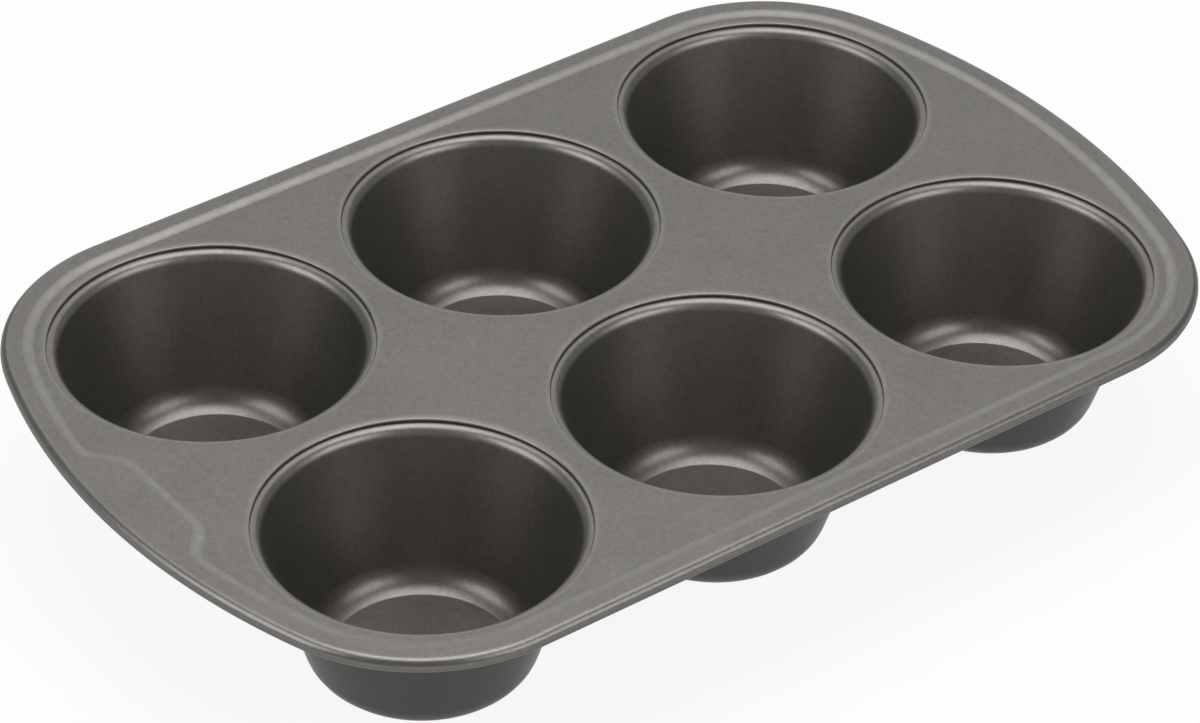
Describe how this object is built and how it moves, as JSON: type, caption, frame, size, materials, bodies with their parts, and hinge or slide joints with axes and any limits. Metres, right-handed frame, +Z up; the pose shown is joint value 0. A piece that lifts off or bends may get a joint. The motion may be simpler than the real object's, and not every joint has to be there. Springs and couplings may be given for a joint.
{
  "type": "jumbo muffin pan",
  "caption": "Shallow oblong sheet-metal tray with bowed ends, a raised border and a rolled edge, holding deep tapered round baking cups that are lock-seamed into it.",
  "frame": {"origin": "on the table, under the middle of the tray; the cup bottoms stand at Z = 0", "axes": "+X along the tray's long side, away from the end with the widened flange panel; +Y to the back; +Z up out of the cups"},
  "size_m": [0.3414, 0.2214, 0.0483],
  "materials": {
    "tray_coating": "satin non-stick coating, warm dark grey with a fine metallic fleck",
    "cup_coating": "satin non-stick coating, warm dark grey with a fine metallic fleck"
  },
  "bodies": {
    "root": {"tray": "tray_coating", "cup_front_left": "cup_coating", "cup_front_middle": "cup_coating", "cup_front_right": "cup_coating", "cup_back_left": "cup_coating", "cup_back_middle": "cup_coating", "cup_back_right": "cup_coating"}
  },
  "joints": []
}
